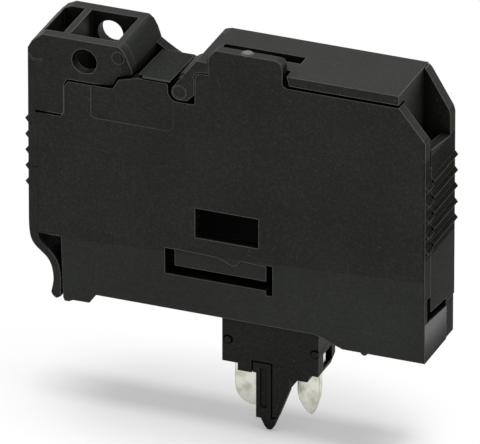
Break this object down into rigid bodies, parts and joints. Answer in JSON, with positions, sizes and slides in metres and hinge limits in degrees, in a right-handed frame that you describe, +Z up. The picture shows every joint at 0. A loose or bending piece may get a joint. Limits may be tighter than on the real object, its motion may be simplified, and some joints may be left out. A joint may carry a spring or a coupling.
{
  "type": "terminal block fuse plug",
  "caption": "Slim black fuse plug for a plug-in terminal block, with a hinged carrier for a 5 x 20 mm cartridge fuse and two knife blades below.",
  "frame": {"origin": "plug-in point: midway between the two blades and in the middle of the thickness, on the housing's long underside", "axes": "+X from the head with the cross hole towards the end where the carrier opens, +Y from the side cover to the back wall, +Z up, away from the terminal block"},
  "size_m": [0.0426, 0.0082, 0.0418],
  "materials": {
    "housing_plastic": "fine matt",
    "cover_plastic": "fine matt",
    "carrier_plastic": "fine matt",
    "foot_plastic": "fine matt",
    "fuse_glass": "clear",
    "fuse_cap_nickel": "satin",
    "fuse_wire_metal": "drawn",
    "tinned_copper": "bright tin",
    "spring_bronze": "satin"
  },
  "bodies": {
    "housing": {"rear_shell": "housing_plastic", "front_cover": "cover_plastic", "hinge_pin": "carrier_plastic", "blade_left": "tinned_copper", "blade_right": "tinned_copper", "spring_left": "spring_bronze", "spring_right": "spring_bronze", "plug_half_front": "foot_plastic", "plug_half_back": "foot_plastic", "locking_key": "foot_plastic"},
    "carrier": {"fuse_carrier": "carrier_plastic", "fuse_glass": "fuse_glass", "fuse_cap_left": "fuse_cap_nickel", "fuse_cap_right": "fuse_cap_nickel", "fuse_wire": "fuse_wire_metal"}
  },
  "joints": [
    {"name": "carrier_hinge", "type": "hinge", "parent": "housing", "child": "carrier", "pos_m": [-0.00891, 0, 0.02409], "axis": [0, -1, 0], "range_deg": [0, 40]}
  ]
}
